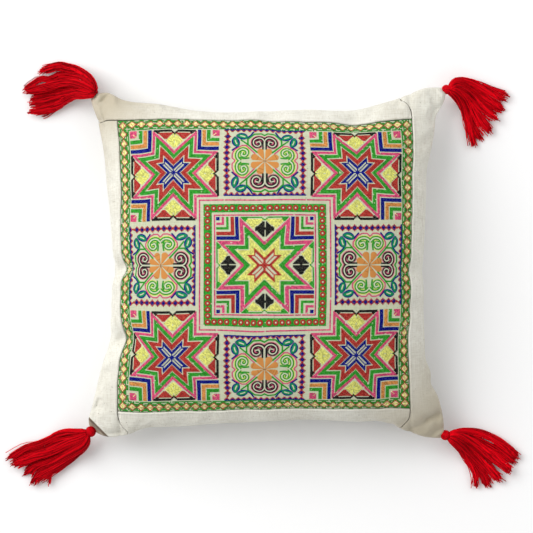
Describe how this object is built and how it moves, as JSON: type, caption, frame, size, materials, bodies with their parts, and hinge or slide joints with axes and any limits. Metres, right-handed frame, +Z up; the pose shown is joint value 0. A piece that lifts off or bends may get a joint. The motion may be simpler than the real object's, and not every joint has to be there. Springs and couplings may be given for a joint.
{
  "type": "embroidered cushion cover",
  "caption": "Square filled cushion cover lying face up: embroidered centre panel framed by four plain cloth strips, plain back, a red thread tassel sewn to each corner",
  "frame": {"origin": "on the floor, at the centre of the level patch under the cushion, below the middle of the embroidered face", "axes": "+Z up, out of the embroidered face; +X to the cover's right side and +Y to its top side, as the embroidery is read"},
  "size_m": [0.6417, 0.5427, 0.1322],
  "materials": {
    "back_linen": "plain linen weave",
    "border_linen": "plain linen weave",
    "embroidery": "counted cross-stitch in coloured cotton on an even-weave ground",
    "tassel_thread": "twisted yarn with a soft sheen",
    "binding_thread": "wound thread"
  },
  "bodies": {
    "root": {"cushion_back": "back_linen", "embroidered_panel": "embroidery", "border_top": "border_linen", "border_right": "border_linen", "border_bottom": "border_linen", "border_left": "border_linen", "tassel_top_left": "tassel_thread", "tassel_top_right": "tassel_thread", "tassel_bottom_left": "tassel_thread", "tassel_bottom_right": "tassel_thread", "tassel_top_left_binding": "binding_thread", "tassel_top_right_binding": "binding_thread", "tassel_bottom_left_binding": "binding_thread", "tassel_bottom_right_binding": "binding_thread"}
  },
  "joints": []
}
